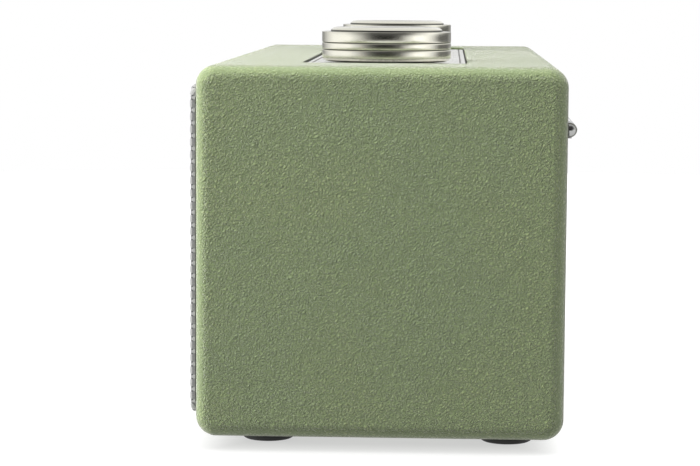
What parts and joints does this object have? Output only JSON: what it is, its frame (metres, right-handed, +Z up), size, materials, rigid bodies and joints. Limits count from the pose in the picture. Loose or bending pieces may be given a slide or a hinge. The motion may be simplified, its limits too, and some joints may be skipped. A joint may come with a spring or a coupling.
{
  "type": "tabletop radio speaker",
  "caption": "Box-shaped tabletop radio speaker in grained leatherette, with a woven front grille, turned metal knobs on an inset top plate and a folding telescopic antenna.",
  "frame": {"origin": "on the surface that the feet stand on, under the centre of the whole object's box", "axes": "+X to the listener's right, -Y the grille and front, +Y the rear panel, +Z up"},
  "size_m": [0.347, 0.1598, 0.1714],
  "materials": {
    "leatherette": "sage green pebble-grain leatherette, satin",
    "fibreboard": "medium-density fibreboard, unfinished inside",
    "black_board": "fibreboard painted matt black",
    "grille_weave": "coarse black and silver woven grille cloth",
    "black_plastic": "black moulded plastic, fine texture",
    "nickel": "warm nickel finish, turned",
    "satin_plate": "pale satin anodised",
    "antenna_chrome": "polished chrome",
    "steel": "zinc-plated steel",
    "magnet_iron": "ferrite and blackened iron",
    "cone_paper": "black pressed paper",
    "black_rubber": "matt black rubber",
    "display_glass": "dark tinted display window",
    "circuit_board": "green glass-fibre circuit board",
    "sink_aluminium": "extruded aluminium",
    "coil_copper": "enamelled copper winding"
  },
  "bodies": {
    "cabinet": {"cabinet_carcass": "fibreboard", "leatherette_cover": "leatherette", "front_baffle": "black_board", "grille_frame": "black_plastic", "grille_cloth": "grille_weave", "rear_panel": "black_plastic", "bass_port": "black_plastic", "dc_inlet": "black_plastic", "aux_jack": "black_plastic", "headphone_jack": "black_plastic", "power_switch_housing": "black_plastic", "top_plate": "satin_plate", "plate_gasket": "black_rubber", "display_lens": "display_glass", "display_module": "black_plastic", "control_board": "circuit_board", "volume_control": "steel", "tuning_encoder": "steel", "main_board": "circuit_board", "heat_sink": "sink_aluminium", "tuner_module": "steel", "antenna_mount": "black_plastic", "antenna_rest": "black_plastic", "left_driver_basket": "steel", "left_driver_magnet": "magnet_iron", "left_driver_surround": "black_rubber", "right_driver_basket": "steel", "right_driver_magnet": "magnet_iron", "right_driver_surround": "black_rubber", "rear_screw_1": "steel", "rear_screw_2": "steel", "rear_screw_3": "steel", "rear_screw_4": "steel", "front_left_foot": "black_rubber", "front_right_foot": "black_rubber", "rear_left_foot": "black_rubber", "rear_right_foot": "black_rubber"},
    "left_cone": {"left_driver_cone": "cone_paper", "left_voice_coil": "coil_copper"},
    "right_cone": {"right_driver_cone": "cone_paper", "right_voice_coil": "coil_copper"},
    "power_rocker": {"power_switch_rocker": "black_plastic"},
    "volume": {"volume_shaft": "steel", "volume_knob": "nickel", "volume_knob_cap": "nickel"},
    "tuning_sleeve": {"tuning_rotor": "black_plastic"},
    "tuning": {"tuning_shaft": "steel", "tuning_knob": "nickel", "tuning_knob_cap": "nickel"},
    "antenna_base": {"antenna_swivel": "antenna_chrome", "antenna_hinge_pin": "steel"},
    "antenna_outer": {"antenna_outer_tube": "antenna_chrome"},
    "antenna_middle": {"antenna_middle_tube": "antenna_chrome"},
    "antenna_inner": {"antenna_inner_tube": "antenna_chrome"},
    "antenna_tip": {"antenna_tip_rod": "antenna_chrome"},
    "button_1": {"preset_button_1": "satin_plate"},
    "button_2": {"preset_button_2": "satin_plate"},
    "button_3": {"preset_button_3": "satin_plate"},
    "button_4": {"preset_button_4": "satin_plate"},
    "button_5": {"preset_button_5": "satin_plate"}
  },
  "joints": [
    {"name": "left_cone_travel", "type": "slide", "parent": "cabinet", "child": "left_cone", "axis": [0, 1, 0], "range_m": [-0.002, 0.002], "stiffness_N_per_m": 1500},
    {"name": "right_cone_travel", "type": "slide", "parent": "cabinet", "child": "right_cone", "axis": [0, 1, 0], "range_m": [-0.002, 0.002], "stiffness_N_per_m": 1500},
    {"name": "power_rocker_tilt", "type": "hinge", "parent": "cabinet", "child": "power_rocker", "pos_m": [-0.05, 0.0675, 0.04], "axis": [0, 0, 1], "range_deg": [0, 14]},
    {"name": "volume_turn", "type": "hinge", "parent": "cabinet", "child": "volume", "pos_m": [-0.0995, -0.002, 0.156], "axis": [0, 0, -1], "range_deg": [0, 300]},
    {"name": "tuning_turn", "type": "hinge", "parent": "cabinet", "child": "tuning_sleeve", "pos_m": [0.0995, -0.002, 0.156], "axis": [0, 0, -1], "continuous": true},
    {"name": "tuning_push", "type": "slide", "parent": "tuning_sleeve", "child": "tuning", "axis": [0, 0, -1], "range_m": [0, 0.0005], "stiffness_N_per_m": 4000, "springref_m": -0.0006},
    {"name": "button_1_press", "type": "slide", "parent": "cabinet", "child": "button_1", "axis": [0, 0, -1], "range_m": [0, 0.0005], "stiffness_N_per_m": 600, "springref_m": -0.001},
    {"name": "button_2_press", "type": "slide", "parent": "cabinet", "child": "button_2", "axis": [0, 0, -1], "range_m": [0, 0.0005], "stiffness_N_per_m": 600, "springref_m": -0.001},
    {"name": "button_3_press", "type": "slide", "parent": "cabinet", "child": "button_3", "axis": [0, 0, -1], "range_m": [0, 0.0005], "stiffness_N_per_m": 600, "springref_m": -0.001},
    {"name": "button_4_press", "type": "slide", "parent": "cabinet", "child": "button_4", "axis": [0, 0, -1], "range_m": [0, 0.0005], "stiffness_N_per_m": 600, "springref_m": -0.001},
    {"name": "button_5_press", "type": "slide", "parent": "cabinet", "child": "button_5", "axis": [0, 0, -1], "range_m": [0, 0.0005], "stiffness_N_per_m": 600, "springref_m": -0.001},
    {"name": "antenna_swing", "type": "hinge", "parent": "cabinet", "child": "antenna_base", "pos_m": [-0.106, 0.0766, 0.1284], "axis": [0, -1, 0], "range_deg": [0, 180]},
    {"name": "antenna_tilt", "type": "hinge", "parent": "antenna_base", "child": "antenna_outer", "pos_m": [-0.106, 0.0766, 0.1284], "axis": [0, 0, 1], "range_deg": [0, 90]},
    {"name": "antenna_middle_draw", "type": "slide", "parent": "antenna_outer", "child": "antenna_middle", "axis": [1, 0, 0], "range_m": [0, 0.18]},
    {"name": "antenna_inner_draw", "type": "slide", "parent": "antenna_middle", "child": "antenna_inner", "axis": [1, 0, 0], "range_m": [0, 0.18]},
    {"name": "antenna_tip_draw", "type": "slide", "parent": "antenna_inner", "child": "antenna_tip", "axis": [1, 0, 0], "range_m": [0, 0.18]}
  ]
}
